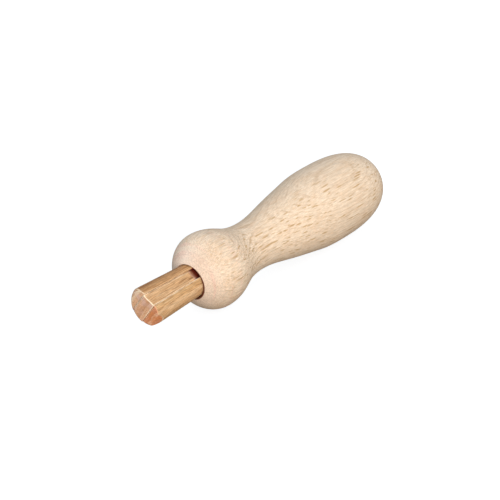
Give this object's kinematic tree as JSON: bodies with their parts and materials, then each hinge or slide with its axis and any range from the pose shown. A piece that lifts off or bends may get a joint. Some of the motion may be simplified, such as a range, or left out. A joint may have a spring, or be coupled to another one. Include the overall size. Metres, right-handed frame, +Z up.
{
  "type": "ring mandrel",
  "caption": "Turned wooden handle with a split wooden peg: a wedge between two half-round jaws spreads them to hold a finger ring from inside.",
  "frame": {"origin": "centre of the bore's mouth in the front of the handle's ball, on the tool's axis", "axes": "+X along the axis from the peg into the handle, +Z up with the tool lying on its side; the slot between the jaws stands 33 degrees off upright"},
  "size_m": [0.1501, 0.0366, 0.0366],
  "materials": {
    "handle_beech": "fine-sanded bare beech, matt to satin",
    "jaw_hardwood": "sawn and sanded bare hardwood, matt",
    "wedge_hardwood": "sawn and sanded bare hardwood, matt"
  },
  "bodies": {
    "handle": {"handle": "handle_beech"},
    "upper_jaw": {"upper_jaw": "jaw_hardwood"},
    "lower_jaw": {"lower_jaw": "jaw_hardwood"},
    "wedge": {"wedge": "wedge_hardwood"}
  },
  "joints": [
    {"name": "wedge_slide", "type": "slide", "parent": "handle", "child": "wedge", "axis": [-1, 0, 0], "range_m": [0, 0.024]},
    {"name": "upper_jaw_rock", "type": "hinge", "parent": "handle", "child": "upper_jaw", "pos_m": [0.006, 0.00008, 0.00006], "axis": [0, -0.5505, 0.8348], "range_deg": [0, 1.1]},
    {"name": "lower_jaw_rock", "type": "hinge", "parent": "handle", "child": "lower_jaw", "pos_m": [0.006, 0.00008, 0.00006], "axis": [0, 0.5505, -0.8348], "range_deg": [0, 1.1]}
  ],
  "couplings": [
    {"joint": "upper_jaw_rock", "follows": "wedge_slide", "rad_per_m": 0.7851},
    {"joint": "lower_jaw_rock", "follows": "wedge_slide", "rad_per_m": 0.7851}
  ]
}
